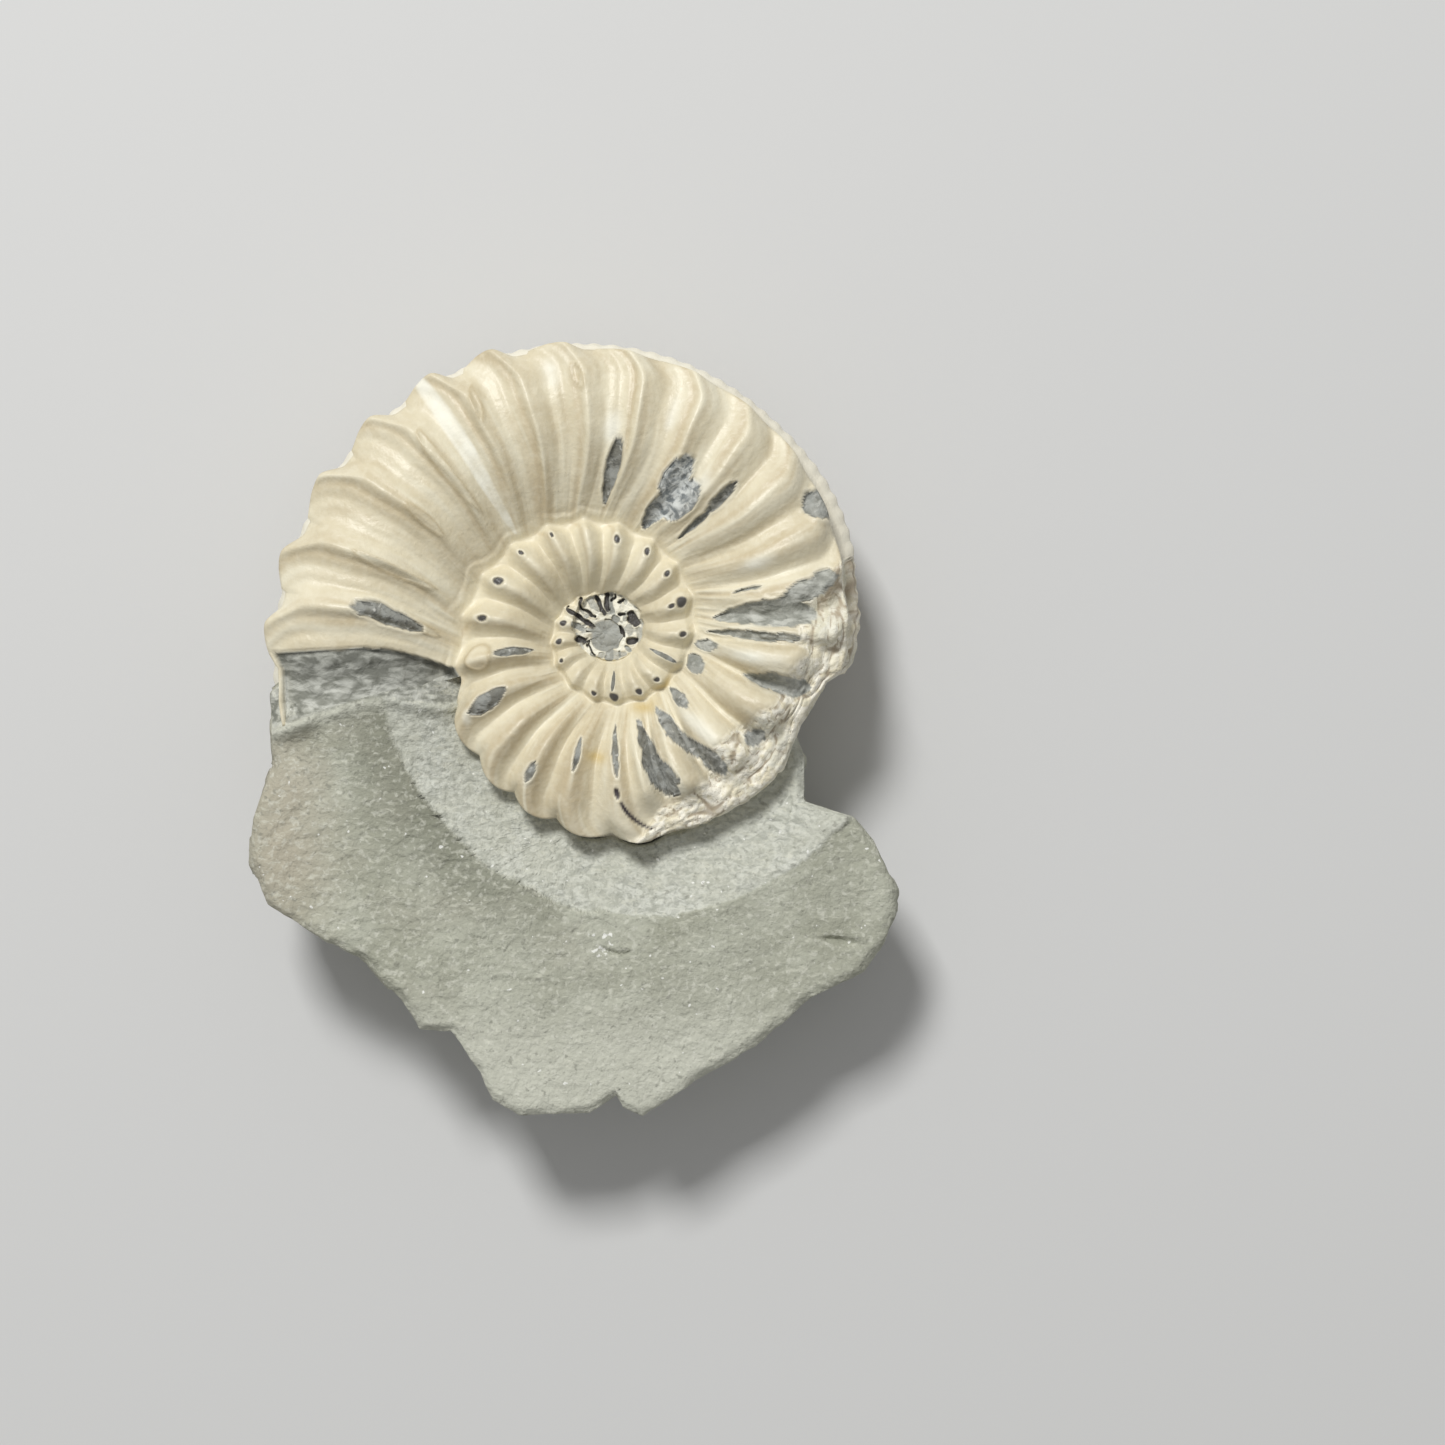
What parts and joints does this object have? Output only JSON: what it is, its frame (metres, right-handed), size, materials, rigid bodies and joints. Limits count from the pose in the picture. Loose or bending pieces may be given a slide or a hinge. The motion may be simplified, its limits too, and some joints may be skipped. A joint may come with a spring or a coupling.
{
  "type": "ammonite fossil in matrix",
  "caption": "Ribbed, keeled ammonite with a cream calcite shell, air-cut out of a broken piece of grey mudstone that it still rests in.",
  "frame": {"origin": "middle of the bounding box, on the flat broken base of the rock", "axes": "+X across the slab to the right, +Y up the slab towards the top of the coil, +Z out of the exposed face"},
  "size_m": [0.038, 0.0454, 0.0124],
  "materials": {
    "fossil_shell": "silky",
    "mudstone": "matte"
  },
  "bodies": {
    "root": {"ammonite": "fossil_shell", "matrix_stone": "mudstone"}
  },
  "joints": []
}
